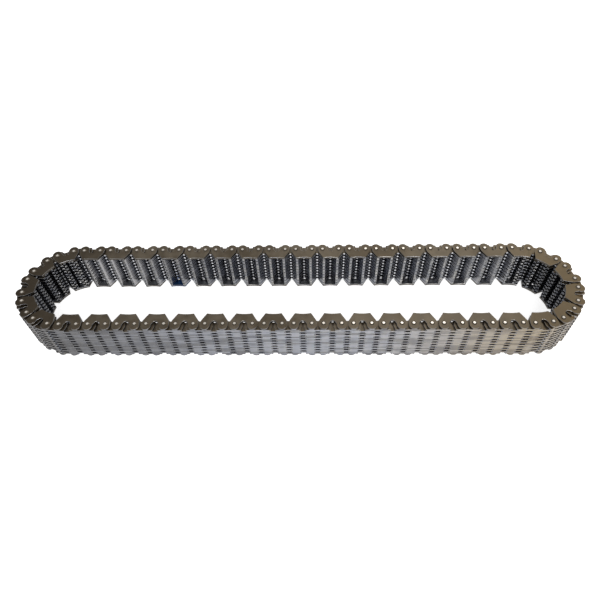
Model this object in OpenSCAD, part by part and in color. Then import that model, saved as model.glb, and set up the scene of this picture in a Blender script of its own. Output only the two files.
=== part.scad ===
// Endless inverted-tooth chain for a transfer case, with two-pin rocker joints.
// It lies on its side: the joints' axes run along Z, the teeth face the inside of the loop,
// and the origin is at the middle of the loop, level with the lower ends of the pins.

/* [Loop] */
// Distance from one joint to the next
pitch = 9.525; // [9.4:0.005:11]
// Link pairs in each straight strand
strand_pairs = 16; // [8:1:16]
// Single links round each end of the loop
bend_links = 11; // [11:1:17]
// Rest turn of the first and last joint of a bend, as a share of the others'
end_turn_share = 0.3; // [0:0.05:1]

/* [Plates] */
// Toothed plates in an inner row
inner_plate_count = 10; // [4:1:14]
// Thickness of every plate
plate_t = 1.45; // [1.2:0.05:2]
// Running gap between neighbouring plates
plate_gap = 0.06; // [0.04:0.01:0.12]
// Tooth tip, from the pitch line
tooth_h = 8; // [7:0.1:9]
// Width of a tooth tip
tip_w = 1.4; // [1:0.1:2]
// Slope of the tooth flanks, from the tooth's middle line
flank_angle = 34; // [30:0.5:36]
// Height of the outer flank
flank_h = 3.6; // [3:0.1:3.8]
// Radius of the root between the teeth
root_r = 1.2; // [0.8:0.05:1.4]
// Back edge, from the pitch line
back_h = 4.3; // [3.6:0.1:4.6]
// End of the plate, past the joint
end_reach = 4.2; // [3.6:0.05:4.4]
// Length of the sloping corner between the end and the back edge, along the chain
corner_w = 1; // [0.4:0.1:1.5]
// Height of that corner
corner_h = 3.4; // [2:0.1:3.6]

/* [Guide plates] */
// Inner edge, from the pitch line
guide_h = 8.2; // [7:0.1:9]
// Width of the inner edge
guide_tip_w = 10.4; // [8:0.1:11]
// Hollow of the inner edge
guide_dip = 0.5; // [0.2:0.05:1]
// End of the guide plate's flank, past the joint
guide_reach = 3.8; // [3:0.05:3.9]
// End of the guide plate's flank, from the pitch line
guide_shoulder = 2.5; // [2.4:0.1:3.2]
// Radius of the lobe round each pin
lobe_r = 3.3; // [2.6:0.05:3.4]
// Middle of that lobe, behind the pitch line
lobe_drop = 1.2; // [0.6:0.05:1.4]
// Radius of the top of the arch in the back edge
arch_r = 1.9; // [1.2:0.05:2.2]
// Slope of the arch's sides, from its middle line
arch_angle = 29; // [20:0.5:35]
// Top of the arch, from the pitch line
arch_top = 2.1; // [1.6:0.05:2.4]

/* [Pins] */
// Radius of the round opening that holds a joint's two pins
opening_r = 2.2; // [2:0.05:2.4]
// Gap between a pin's round back and its opening
seat_gap = 0.08; // [0.06:0.01:0.1]
// Radius of the faces that roll on each other
rock_r = 3; // [2.5:0.1:3.2]
// Gap between the two pins of a joint
rock_gap = 0.2; // [0.18:0.01:0.3]
// Middle of a long pin's round ends, past the joint
pin_end_x = 1; // [0.9:0.05:1.2]
// Radius of a long pin's round ends in the guide plates
pin_end_r = 1; // [0.8:0.05:1.1]
// Radius of the riveted head
head_r = 1.7; // [1.2:0.05:1.8]
// Radius of the flat on the riveted head
head_flat_r = 0.85; // [0.5:0.05:1]
// Height of the riveted head
head_h = 0.4; // [0.3:0.05:0.8]

/* [Hidden] */
$fn = 48;
half_links = 2 * strand_pairs + bend_links;
half_bodies = strand_pairs + bend_links;
layers = 2 * inner_plate_count + 1;
layer_h = plate_t + plate_gap;
joint_x = pitch / 2;
pin_x = joint_x + pin_end_x;
stack_z0 = head_h + seat_gap;
stack_z1 = stack_z0 + layers * layer_h - plate_gap;
inner_z0 = stack_z0 + layer_h;
inner_z1 = stack_z1 - layer_h;

function two_digits(n) = str(n < 10 ? "0" : "", n);
function strand_names(side) = [for (i = [1:strand_pairs]) str(side, "_links_", two_digits(i))];
function bend_names(side) = [for (i = [1:bend_links]) str(side, "_link_", two_digits(i))];
NODES = concat(
    strand_names("front"),
    bend_names("right"),
    strand_names("rear"),
    bend_names("left")
);

// Turn at the joint after link k: none along a strand, and an even turn round a bend, with
// less at the two joints that lead into it.
full_turn = 180 / (bend_links - 1 + 2 * end_turn_share);
function turn(k) =
    let (j = k - 2 * strand_pairs + 1)
    j < 0 ? 0 : full_turn * (j == 0 || j == bend_links ? end_turn_share : 1);

function sum_to(list, last) = last < 0 ? 0 : list[last] + sum_to(list, last - 1);

// Direction of each link, and the joint before it, going round the loop anticlockwise.
// The second half of the loop is the first half turned by 180 degrees.
turns = [for (k = [0:half_links - 1]) turn(k)];
headings = [for (k = [0:half_links - 1]) sum_to(turns, k - 1)];
steps = [for (h = headings) pitch * [cos(h), sin(h)]];
function step_sum(last) = last < 0 ? [0, 0] : steps[last] + step_sum(last - 1);
half_span = step_sum(half_links - 1);
function heading(k) = headings[k % half_links] + (k < half_links ? 0 : 180);
function joint(k) =
    (k < half_links ? 1 : -1) * (step_sum(k % half_links - 1) - half_span / 2);

function mirrored(points) = [for (i = [len(points) - 1:-1:0]) [-points[i][0], points[i][1]]];

// Notch with a round root about the origin and straight sides that open towards +Y.
module notch(root, angle, depth) {
    rounding = 0.02;
    foot = [root * cos(angle), -root * sin(angle)];
    mouth = [foot[0] + (depth - foot[1]) * tan(angle), depth];
    polygon(concat([foot, mouth], mirrored([foot, mouth])));
    circle(root + rounding);
}

// Gap between a plate's two teeth.
module tooth_gap() {
    over = 1;
    root_depth = (joint_x - tip_w / 2) / tan(flank_angle) - root_r / sin(flank_angle);
    translate([0, tooth_h - root_depth]) notch(root_r, flank_angle, root_depth + over);
}

// Toothed plate: two teeth, a flat back and a round opening at each joint.
module link_plate() {
    right = [
        [joint_x + tip_w / 2, tooth_h],
        [joint_x + tip_w / 2 + flank_h * tan(flank_angle), tooth_h - flank_h],
        [joint_x + end_reach, corner_h - back_h],
        [joint_x + end_reach - corner_w, -back_h]
    ];
    color("#8f9093")
    linear_extrude(plate_t)
    difference() {
        polygon(concat(right, mirrored(right)));
        tooth_gap();
        for (side = [-1, 1]) translate([side * joint_x, 0]) circle(opening_r);
    }
}

// Guide plate: an inner edge that runs beside the sprocket, a lobe round each pin,
// and an arch in the back between the lobes.
module guide_plate() {
    dip_r = (pow(guide_tip_w / 2, 2) + pow(guide_dip, 2)) / (2 * guide_dip);
    arch_y = arch_top - arch_r;
    over = 1;
    right = [
        [guide_tip_w / 2, guide_h],
        [joint_x + guide_reach, guide_shoulder],
        [pin_x + lobe_r, -lobe_drop]
    ];
    color("#5a5145")
    linear_extrude(plate_t)
    difference() {
        union() {
            difference() {
                polygon(concat(right, mirrored(right)));
                translate([0, guide_h - guide_dip + dip_r]) circle(dip_r, $fn = 180);
                translate([0, arch_y]) rotate(180) notch(arch_r, arch_angle, arch_y + lobe_drop + over);
            }
            for (side = [-1, 1]) translate([side * pin_x, -lobe_drop]) circle(lobe_r);
        }
        for (side = [-1, 1]) translate([side * pin_x, 0]) circle(pin_end_r + seat_gap);
    }
}

// Section of either pin: a half moon on the outer side of the joint, with a back that is
// round about the joint's axis and a face that rolls on the other pin.
module pin_section() {
    intersection() {
        circle(opening_r - seat_gap);
        translate([rock_gap / 2 + rock_r, 0]) circle(rock_r);
    }
}

// Round end of a long pin, upwards from the inner face of a guide plate, riveted over it.
module pin_end() {
    translate([pin_end_x, 0, 0]) {
        cylinder(h = layer_h + seat_gap, r = pin_end_r);
        translate([0, 0, layer_h + seat_gap])
        cylinder(h = head_h, r1 = head_r, r2 = head_flat_r);
    }
}

// Long pin of a guide row: its ends pass through the two guide plates.
module long_pin() {
    color("#c8c1b2")
    union() {
        translate([0, 0, inner_z0]) linear_extrude(inner_z1 - inner_z0) pin_section();
        translate([0, 0, inner_z1]) pin_end();
        translate([0, 0, inner_z0]) mirror([0, 0, 1]) pin_end();
    }
}

// Rocker pin of an inner row: it ends between the guide plates.
module rocker_pin() {
    color("#b9b3a6")
    translate([0, 0, inner_z0]) linear_extrude(inner_z1 - inner_z0) pin_section();
}

module at_layer(i) {
    translate([0, 0, stack_z0 + i * layer_h]) children();
}

module at_both_joints() {
    for (turned = [0, 180]) rotate(turned) translate([joint_x, 0, 0]) children();
}

// Guide row: two guide plates with toothed plates between them, on two long pins.
module guide_row() {
    for (i = [0, layers - 1]) at_layer(i) guide_plate();
    for (i = [2:2:layers - 3]) at_layer(i) link_plate();
    at_both_joints() long_pin();
}

// Inner row: toothed plates on two rocker pins, laced between two guide rows.
module inner_row() {
    for (i = [1:2:layers - 2]) at_layer(i) link_plate();
    at_both_joints() rocker_pin();
}

// Link k of the loop: guide rows and inner rows alternate.
module link(k) {
    translate(joint(k))
    rotate(heading(k))
    translate([joint_x, 0, 0])
    if (k % 2 == 0) guide_row();
    else inner_row();
}

// Body b of the loop: two links in a strand, or one in a bend.
module body(b) {
    half = floor(b / half_bodies);
    i = b - half * half_bodies;
    first = half * half_links + (i < strand_pairs ? 2 * i : i + strand_pairs);
    link(first);
    if (i < strand_pairs) link(first + 1);
}

for (b = [0:len(NODES) - 1])
    body(b);
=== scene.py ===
import math

import bpy
import bmesh
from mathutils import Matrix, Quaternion, Vector

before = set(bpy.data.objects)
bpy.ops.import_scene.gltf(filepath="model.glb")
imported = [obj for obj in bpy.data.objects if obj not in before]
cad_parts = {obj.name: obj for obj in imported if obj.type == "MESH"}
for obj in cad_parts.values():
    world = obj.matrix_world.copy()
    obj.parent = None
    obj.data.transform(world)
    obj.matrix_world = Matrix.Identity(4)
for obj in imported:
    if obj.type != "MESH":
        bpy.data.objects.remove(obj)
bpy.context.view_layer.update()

# Links of the chain: stacks of plates punched from spring steel, laced on rocker pins.
# A link is one mesh, so one steel finish covers it. It tells the pieces apart by their layer
# in the stack, their place round the loop and the way their faces look.
LAYER_HEIGHT = 0.00151
STACK_BOTTOM = 0.00048
TEETH_BOTTOM = 0.00196
TEETH_TOP = 0.03065
CHAIN_PITCH = 0.009525
STRAND_START = 0.157163
BEND_MIDDLE_X = 0.154
PITCH_LINE = 0.0322
FLAT_SLOPE = (0.6, 0.9)


def steel_material(name):
    steel = bpy.data.materials.new(name)
    steel.use_nodes = True
    shader = steel.node_tree.nodes["Principled BSDF"]
    shader.inputs["Metallic"].default_value = 1.0
    return steel, shader


def feed(value, socket):
    if isinstance(value, bpy.types.NodeSocket):
        socket.id_data.links.new(value, socket)
    elif isinstance(value, tuple):
        socket.default_value = (*value, 1)
    else:
        socket.default_value = value


def new_node(kind, values, **settings):
    tree = next(value.id_data for value in values if isinstance(value, bpy.types.NodeSocket))
    node = tree.nodes.new(kind)
    for key, value in settings.items():
        setattr(node, key, value)
    for socket, value in zip(node.inputs, values):
        feed(value, socket)
    return node


def math_node(operation, *values):
    return new_node("ShaderNodeMath", values, operation=operation).outputs[0]


def both(first, second):
    return math_node("MULTIPLY", first, second)


def soft_step(value, span, ends=(0.0, 1.0)):
    node = new_node("ShaderNodeMapRange", (value, *span, *ends), interpolation_type="SMOOTHSTEP")
    return node.outputs[0]


def split(vector):
    return tuple(new_node("ShaderNodeSeparateXYZ", (vector,)).outputs)


def joined(x, y, z):
    return new_node("ShaderNodeCombineXYZ", (x, y, z)).outputs[0]


def vector_node(operation, *vectors):
    return new_node("ShaderNodeVectorMath", vectors, operation=operation).outputs


plate_steel, plate_shader = steel_material("plate_steel")
where = plate_steel.node_tree.nodes.new("ShaderNodeTexCoord")
place = where.outputs["Object"]
facing = where.outputs["Normal"]
along, beside, height = split(place)
upward = split(facing)[2]
level = math_node("ABSOLUTE", upward)
flat_face = soft_step(level, FLAT_SLOPE)

above_bottom = math_node("SUBTRACT", height, STACK_BOTTOM)
layer = math_node("FLOOR", math_node("DIVIDE", above_bottom, LAYER_HEIGHT))
row = math_node("MODULO", layer, 2.0)
row_shift = math_node("MULTIPLY", row, CHAIN_PITCH)
from_start = math_node("SUBTRACT", math_node("ADD", along, STRAND_START), row_shift)
plates_along = math_node("DIVIDE", from_start, 2 * CHAIN_PITCH)
plate_number = math_node("FLOOR", plates_along)
from_plate_middle = math_node("ABSOLUTE", math_node("SUBTRACT", math_node("FRACT", plates_along), 0.5))
own_place = joined(plate_number, layer, math_node("SIGN", beside))
plate_tone = new_node("ShaderNodeTexWhiteNoise", (own_place,), noise_dimensions="3D").outputs["Value"]

from_centre = math_node("ABSOLUTE", along)
past_bend = math_node("MAXIMUM", math_node("SUBTRACT", from_centre, BEND_MIDDLE_X), 0.0)
outward = joined(math_node("MULTIPLY", past_bend, math_node("SIGN", along)), beside, 0.0)
out_unit = vector_node("NORMALIZE", outward)["Vector"]
looks_out = vector_node("DOT_PRODUCT", out_unit, facing)["Value"]
inside_by = math_node("SUBTRACT", PITCH_LINE, vector_node("LENGTH", outward)["Value"])
outside = math_node("LESS_THAN", inside_by, 0.0)
toothed = both(
    math_node("GREATER_THAN", height, TEETH_BOTTOM),
    math_node("LESS_THAN", height, TEETH_TOP))

# Flat faces of the plates: blanked from strip, left with the brown-grey tint of hardening.
# The top ones are nearly dry: their left end is painted darker, painted shade with some oil, and their
# right end is painted olive, painted warm light with some oil.
# The faces inside the stack are painted dark: painted shade between the plates, with oil.
FACE_TINT = (0.205, 0.172, 0.128)
FACE_TINT_DEEP = (0.13, 0.105, 0.074)
CLOUD_SCALE, CLOUD_DETAIL = 22.0, 4.0
STAIN_SCALE, STAIN_DETAIL = 160.0, 5.0
CLOUD_SHARE = 0.6
TINT_SPAN = (0.38, 0.62)
FACE_RIGHT_WARM_LIGHT_AND_OIL = (0.23, 0.175, 0.105)
FACE_WARM_LIGHT_X, FACE_WARM_LIGHT_SHARE = (0.12, 0.185), (0.0, 0.8)
FACE_LEFT_SHADE_AND_OIL = (0.062, 0.048, 0.033)
FACE_SHADE_X, FACE_SHADE_SHARE = (-0.192, -0.10), (0.9, 0.0)
PAINTED_SHADE_AND_OIL_DARK = (0.035, 0.038, 0.052)
INNER_SHADE_HEIGHT, INNER_SHADE_SHARE = (0.0283, 0.0287), (0.85, 0.0)


def noise(pattern_place, scale, detail, stretch=(1, 1, 1)):
    mapping = new_node("ShaderNodeMapping", (pattern_place,))
    mapping.inputs["Scale"].default_value = stretch
    grain = new_node("ShaderNodeTexNoise", (mapping.outputs[0],))
    grain.inputs["Scale"].default_value = scale
    grain.inputs["Detail"].default_value = detail
    return grain.outputs[0]


def mean_of(first, second, first_share=0.5):
    return math_node(
        "ADD", math_node("MULTIPLY", first, first_share), math_node("MULTIPLY", second, 1 - first_share))


def blend_colour(share, first, second):
    node = new_node("ShaderNodeMix", (share,), data_type="RGBA")
    feed(first, node.inputs[6])
    feed(second, node.inputs[7])
    return node.outputs[2]


cloud = noise(place, CLOUD_SCALE, CLOUD_DETAIL)
stain = noise(place, STAIN_SCALE, STAIN_DETAIL)
tinted = soft_step(mean_of(cloud, stain, CLOUD_SHARE), TINT_SPAN)
face_colour = blend_colour(tinted, FACE_TINT_DEEP, FACE_TINT)
# painted warm light, with some oil, on the right end of the faces
face_colour = blend_colour(soft_step(along, FACE_WARM_LIGHT_X, FACE_WARM_LIGHT_SHARE), face_colour, FACE_RIGHT_WARM_LIGHT_AND_OIL)
# painted shade, with some oil, on the left end of the faces
face_colour = blend_colour(soft_step(along, FACE_SHADE_X, FACE_SHADE_SHARE), face_colour, FACE_LEFT_SHADE_AND_OIL)
# painted shade between the plates, with oil, on the faces inside the stack
face_colour = blend_colour(soft_step(height, INNER_SHADE_HEIGHT, INNER_SHADE_SHARE), face_colour, PAINTED_SHADE_AND_OIL_DARK)

# Backs of the plates: the sheared outer edges, rubbed bright by the tumbling drum.
# They carry a warm film of oil with painted warm light at the right end and painted shade with some oil
# at the left one, and painted shade darkens the backs beside the ends of the plates, widening the dark
# gaps between one plate and the next.
BACK_STEEL = (0.275, 0.286, 0.32)
BACK_STEEL_DULL = (0.13, 0.134, 0.15)
BACK_SPAN = (0.3, 0.65)
BACK_SLOPE = (0.72, 0.94)
OIL_FILM_AND_WARM_LIGHT = (0.34, 0.285, 0.20)
OIL_FILM_AND_WARM_LIGHT_DEEP = (0.20, 0.162, 0.112)
FILM_AND_WARM_LIGHT_RIGHT_X = (0.03, 0.16)
FILM_LEFT_X, FILM_LEFT_SHARE = (-0.185, -0.15), (0.7, 0.0)
FILM_CLOUD, FILM_CLOUD_SHARE = (0.25, 0.6), (0.45, 1.0)
BACK_LEFT_SHADE_AND_OIL = (0.085, 0.082, 0.080)
BACK_SHADE_X, BACK_SHADE_SHARE = (-0.19, -0.03), (0.75, 0.0)
GAP_SHADE_FROM_MIDDLE, GAP_SHADE_SHARE = (0.365, 0.395), (0.0, 0.95)
GAP_SHADE_PAST_BEND = (0.0, 0.002)


def either(first, second):
    return math_node("MAXIMUM", first, second)


worn = soft_step(mean_of(stain, plate_tone), BACK_SPAN)
back_colour = blend_colour(worn, BACK_STEEL_DULL, BACK_STEEL)
film_ends = either(soft_step(along, FILM_AND_WARM_LIGHT_RIGHT_X), soft_step(along, FILM_LEFT_X, FILM_LEFT_SHARE))
oil_film_and_warm_light = both(film_ends, soft_step(cloud, FILM_CLOUD, FILM_CLOUD_SHARE))
# painted warm light, with a film of oil, at the right end of the backs
back_colour = blend_colour(oil_film_and_warm_light, back_colour, blend_colour(worn, OIL_FILM_AND_WARM_LIGHT_DEEP, OIL_FILM_AND_WARM_LIGHT))
# painted shade, with some oil, at the left end of the backs
back_colour = blend_colour(soft_step(along, BACK_SHADE_X, BACK_SHADE_SHARE), back_colour, BACK_LEFT_SHADE_AND_OIL)
# painted shade beside the ends of the plates, widening the dark gaps between them
gap_shade = both(
    soft_step(from_plate_middle, GAP_SHADE_FROM_MIDDLE, GAP_SHADE_SHARE),
    soft_step(past_bend, GAP_SHADE_PAST_BEND, (1.0, 0.0)))
back_with_gap_shade = blend_colour(gap_shade, back_colour, PAINTED_SHADE_AND_OIL_DARK)
back_edge = both(soft_step(looks_out, BACK_SLOPE), outside)

# Teeth of the plates: finely punched, with smooth flanks that lie against the sprocket.
# The flanks are painted dark as shade, paler by row and plate, with painted light near the tips towards
# both ends of the strands. The tips are worn plate by plate, the round roots carry a painted highlight,
# and inside the bends all is painted darker as shade.
FLANK_PAINTED_SHADE = (0.045, 0.052, 0.072)
FLANK_PALE = (0.25, 0.26, 0.29)
FLANK_SPAN = (0.2, 0.9)
FLANK_LIT = (0.56, 0.55, 0.55)
LIT_LEFT_X, LIT_LEFT_SHARE = (-0.13, -0.04), (0.75, 0.0)
LIT_RIGHT_X, LIT_RIGHT_SHARE = (0.05, 0.14), (0.0, 0.45)
LIT_DEPTH = (0.0035, 0.0078)
TIP_STEEL = (0.26, 0.26, 0.26)
TIP_STEEL_DULL = (0.05, 0.05, 0.052)
TIP_SPAN = (0.2, 0.8)
TOOTH_SLOPE = (-0.94, -0.72)
ROOT_HIGHLIGHT = (0.80, 0.81, 0.85)
ROOT_HIGHLIGHT_BEGINS = (0.0018, 0.0022)
ROOT_HIGHLIGHT_ENDS = (0.0036, 0.0042)
BEND_PAINTED_SHADE = (0.05, 0.055, 0.07)
BEND_REACH, BEND_SHARE = (0.002, 0.014), (0.0, 0.7)

row_tone = mean_of(row, plate_tone)
in_bend = soft_step(past_bend, BEND_REACH, BEND_SHARE)
# painted light on the flanks near the tips towards both ends of the strands
lit_ends = either(
    soft_step(along, LIT_LEFT_X, LIT_LEFT_SHARE),
    soft_step(along, LIT_RIGHT_X, LIT_RIGHT_SHARE))
lit = both(lit_ends, soft_step(inside_by, LIT_DEPTH))
# flanks painted dark as shade, paler by row and plate
flank_colour = blend_colour(soft_step(row_tone, FLANK_SPAN), FLANK_PAINTED_SHADE, FLANK_PALE)
flank_colour = blend_colour(lit, flank_colour, FLANK_LIT)
# painted shade on the flanks inside the bends
flank_colour = blend_colour(in_bend, flank_colour, BEND_PAINTED_SHADE)
flank_colour = blend_colour(both(in_bend, outside), flank_colour, back_colour)
# painted highlight on the round roots of the tooth gaps
root_highlight = both(soft_step(inside_by, ROOT_HIGHLIGHT_BEGINS), soft_step(inside_by, ROOT_HIGHLIGHT_ENDS, (1.0, 0.0)))
tooth_colour = blend_colour(soft_step(row_tone, TIP_SPAN), TIP_STEEL_DULL, TIP_STEEL)
tooth_colour = blend_colour(root_highlight, tooth_colour, ROOT_HIGHLIGHT)
# painted shade on the tips and roots inside the bends
tooth_colour = blend_colour(in_bend, tooth_colour, BEND_PAINTED_SHADE)
tooth_edge = both(soft_step(looks_out, TOOTH_SLOPE, (1.0, 0.0)), toothed)

# Guide plates: the outermost plates above and below, which hold the chain on the sprocket.
# Their edges are brown, and the lower ones are wiped bare on top. One lower plate in the
# rear strand is blued as a mark.
GUIDE_EDGE = (0.085, 0.072, 0.056)
LOW_GUIDE = (0.24, 0.245, 0.26)
MARK_X = -0.09049
MARK_BLUE = (0.045, 0.125, 0.32)
MARK_EDGE = (0.025, 0.045, 0.085)

side_colour = blend_colour(toothed, GUIDE_EDGE, flank_colour)
edge_colour = blend_colour(tooth_edge, blend_colour(back_edge, side_colour, back_with_gap_shade), tooth_colour)
low_guide = math_node("LESS_THAN", height, TEETH_BOTTOM)
low_face = both(low_guide, math_node("GREATER_THAN", upward, 0.0))
face_colour = blend_colour(low_face, face_colour, LOW_GUIDE)
from_mark = math_node("ABSOLUTE", math_node("SUBTRACT", along, MARK_X))
rear_low_guide = both(math_node("GREATER_THAN", beside, 0.0), low_guide)
marked = both(math_node("LESS_THAN", from_mark, CHAIN_PITCH), rear_low_guide)
face_colour = blend_colour(marked, face_colour, MARK_BLUE)
edge_colour = blend_colour(marked, edge_colour, MARK_EDGE)
plate_colour = blend_colour(flat_face, edge_colour, face_colour)

# Long pins: hard steel wire of a half-moon section, riveted over the guide plates.
# The flat of each riveted head carries a painted highlight, and the slope round it is dark.
GUIDE_TOP = (0.03215, 0.03219)
GUIDE_BOTTOM = (0.00042, 0.00046)
PIN_HEAD_HIGHLIGHT = (0.92, 0.86, 0.77)
PIN_RING = (0.14, 0.118, 0.092)
PIN_FLAT_SLOPE = (0.93, 0.99)

pin_end = either(soft_step(height, GUIDE_TOP), soft_step(height, GUIDE_BOTTOM, (1.0, 0.0)))
# painted highlight on the flat of each riveted head
pin_colour = blend_colour(soft_step(level, PIN_FLAT_SLOPE), PIN_RING, PIN_HEAD_HIGHLIGHT)
feed(blend_colour(pin_end, plate_colour, pin_colour), plate_shader.inputs["Base Color"])

# Surface of the steel: shear streaks run across the plates' edges, from the punch, and the
# tumbled flat faces have a fine even grain. Flanks and pin heads are the smoothest.
STREAK_SCALE = 900.0
STREAK_STRETCH = (1, 1, 0.12)
GRAIN_SCALE = 1400.0
GRAIN_DETAIL = 2.0
ROUGH_SPAN = (0.3, 0.7)
FACE_ROUGH = (0.36, 0.52)
FLANK_ROUGH = (0.14, 0.24)
BACK_ROUGH = (0.30, 0.42)
PIN_ROUGH = 0.24
RELIEF_STRENGTH = 0.15
RELIEF_DEPTH = 0.00004


def blend_value(share, first, second):
    node = new_node("ShaderNodeMix", (share,), data_type="FLOAT")
    feed(first, node.inputs[2])
    feed(second, node.inputs[3])
    return node.outputs[0]


streak = noise(place, STREAK_SCALE, GRAIN_DETAIL, STREAK_STRETCH)
grain = noise(place, GRAIN_SCALE, GRAIN_DETAIL)
rubbed = either(either(back_edge, tooth_edge), math_node("SUBTRACT", 1.0, toothed))
rough = blend_value(
    rubbed, soft_step(streak, ROUGH_SPAN, FLANK_ROUGH), soft_step(streak, ROUGH_SPAN, BACK_ROUGH))
rough = blend_value(flat_face, rough, soft_step(stain, ROUGH_SPAN, FACE_ROUGH))
rough = blend_value(pin_end, rough, PIN_ROUGH)
feed(rough, plate_shader.inputs["Roughness"])
relief = plate_steel.node_tree.nodes.new("ShaderNodeBump")
relief.inputs["Strength"].default_value = RELIEF_STRENGTH
relief.inputs["Distance"].default_value = RELIEF_DEPTH
feed(blend_value(flat_face, streak, grain), relief.inputs["Height"])
feed(relief.outputs[0], plate_shader.inputs["Normal"])

# Rounded rims of the plates and pins: tumbling breaks every sharp edge, and handling keeps
# the rims bare, so they show as thin light lines round the darker faces.
RIM_STEEL = (0.36, 0.35, 0.335)
RIM_WEAR_SCALE = 240.0
RIM_WEAR_DETAIL = 3.0
RIM_WEAR_SPAN = (0.35, 0.65)
RIM_ROUGH = (0.45, 0.3)
RIM_WIDTH = 0.00012
RIM_ANGLE = math.radians(35)
SAME_POINT = 0.000001

rim_steel, rim_shader = steel_material("rim_steel")
rim_where = rim_steel.node_tree.nodes.new("ShaderNodeTexCoord")
rim_wear = noise(rim_where.outputs["Object"], RIM_WEAR_SCALE, RIM_WEAR_DETAIL)
rim_colour = blend_colour(soft_step(rim_wear, RIM_WEAR_SPAN), BACK_STEEL, RIM_STEEL)
feed(rim_colour, rim_shader.inputs["Base Color"])
feed(soft_step(rim_wear, ROUGH_SPAN, RIM_ROUGH), rim_shader.inputs["Roughness"])

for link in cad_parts.values():
    link.data.materials.clear()
    link.data.materials.append(plate_steel)
    link.data.materials.append(rim_steel)
    weld = link.modifiers.new("joined_faces", "WELD")
    weld.merge_threshold = SAME_POINT
    rim = link.modifiers.new("rounded_rim", "BEVEL")
    rim.width = RIM_WIDTH
    rim.segments = 1
    rim.profile = 0.5
    rim.limit_method = "ANGLE"
    rim.angle_limit = RIM_ANGLE
    rim.use_clamp_overlap = False
    rim.material = 1

# Floor of the studio: a wide white painted board. It keeps the chain's shadow, and it shows
# as white to the camera and a little greyer in the steel.
FLOOR_HALF = 4.0
FLOOR_PAINT = (0.85, 0.85, 0.85)
FLOOR_ROUGH = 0.9
FLOOR_SEEN = 0.74
FLOOR_MIRRORED = 0.55

floor_mesh = bpy.data.meshes.new("floor")
floor_form = bmesh.new()
bmesh.ops.create_grid(floor_form, x_segments=1, y_segments=1, size=FLOOR_HALF)
floor_form.to_mesh(floor_mesh)
floor_form.free()
floor = bpy.data.objects.new("floor", floor_mesh)
bpy.context.scene.collection.objects.link(floor)
floor_paint = bpy.data.materials.new("floor_paint")
floor_paint.use_nodes = True
floor_shader = floor_paint.node_tree.nodes["Principled BSDF"]
feed(FLOOR_PAINT, floor_shader.inputs["Base Color"])
floor_shader.inputs["Roughness"].default_value = FLOOR_ROUGH
floor_shader.inputs["Specular IOR Level"].default_value = 0.0
floor_shader.inputs["Emission Color"].default_value = (1, 1, 1, 1)
rays = floor_paint.node_tree.nodes.new("ShaderNodeLightPath").outputs
mirrored = either(rays["Is Glossy Ray"], rays["Is Transmission Ray"])
seen = math_node("MULTIPLY", rays["Is Camera Ray"], FLOOR_SEEN)
glow = either(seen, math_node("MULTIPLY", mirrored, FLOOR_MIRRORED))
feed(glow, floor_shader.inputs["Emission Strength"])
floor_mesh.materials.append(floor_paint)

# Light of the studio: a pale dome and three round soft boxes. The largest share comes from
# above the camera, a weak one stands behind on the right, and a warm one low on the right.
DOME_STRENGTH = (0.55, 1.0)
CHAIN_MIDDLE = (0, 0, 0.016)
RIGHT_BEND = (0.12, 0, 0.016)

world = bpy.data.worlds.new("dome")
world.use_nodes = True
sky = world.node_tree.nodes["Background"]
sky.inputs["Color"].default_value = (1, 1, 1, 1)
dome_rays = world.node_tree.nodes.new("ShaderNodeLightPath").outputs
feed(soft_step(dome_rays["Is Camera Ray"], (0.0, 1.0), DOME_STRENGTH), sky.inputs["Strength"])
bpy.context.scene.world = world


def soft_lamp(name, size, power, colour, stand, aim):
    lamp = bpy.data.lights.new(name, "AREA")
    lamp.color = colour
    lamp.shape = "DISK"
    lamp.size = size
    lamp.energy = power
    lamp_object = bpy.data.objects.new(name, lamp)
    lamp_object.location = stand
    lamp_object.rotation_euler = (Vector(aim) - Vector(stand)).to_track_quat("-Z", "Y").to_euler()
    bpy.context.scene.collection.objects.link(lamp_object)


soft_lamp(
    "key_lamp", size=0.9, power=12.0, colour=(1.0, 1.0, 1.0),
    stand=(0.2, -1.2, 1.3), aim=CHAIN_MIDDLE)
soft_lamp(
    "back_lamp", size=0.9, power=2.5, colour=(1.0, 0.96, 0.90),
    stand=(0.5, 1.2, 1.6), aim=CHAIN_MIDDLE)
soft_lamp(
    "side_lamp", size=0.6, power=4.0, colour=(1.0, 0.88, 0.72),
    stand=(1.2, -0.9, 0.6), aim=RIGHT_BEND)

# Camera: held close above the front strand, looking down into the loop.
# Its wide lens makes the front wall larger than the rear one, as in the photograph.
AIM = Vector((0.0027, -0.0138, 0.0326))
CAMERA_DISTANCE = 0.348
CAMERA_PITCH = math.radians(52.4)
CAMERA_SIDE = math.radians(2.7)
CAMERA_ROLL = math.radians(-2.4)
CAMERA_LENS = 31.7

view = bpy.data.cameras.new("view")
view.lens = CAMERA_LENS
view.sensor_width = 36.0
view.clip_start = 0.01
view_object = bpy.data.objects.new("view", view)
ground_share = math.cos(CAMERA_PITCH)
back = Vector((
    math.sin(CAMERA_SIDE) * ground_share,
    -math.cos(CAMERA_SIDE) * ground_share,
    math.sin(CAMERA_PITCH)))
view_object.location = AIM + back * CAMERA_DISTANCE
level_turn = (-back).to_track_quat("-Z", "Y")
view_object.rotation_euler = (level_turn @ Quaternion((0, 0, 1), CAMERA_ROLL)).to_euler()
bpy.context.scene.collection.objects.link(view_object)
bpy.context.scene.camera = view_object
bpy.context.scene.view_settings.view_transform = "Standard"
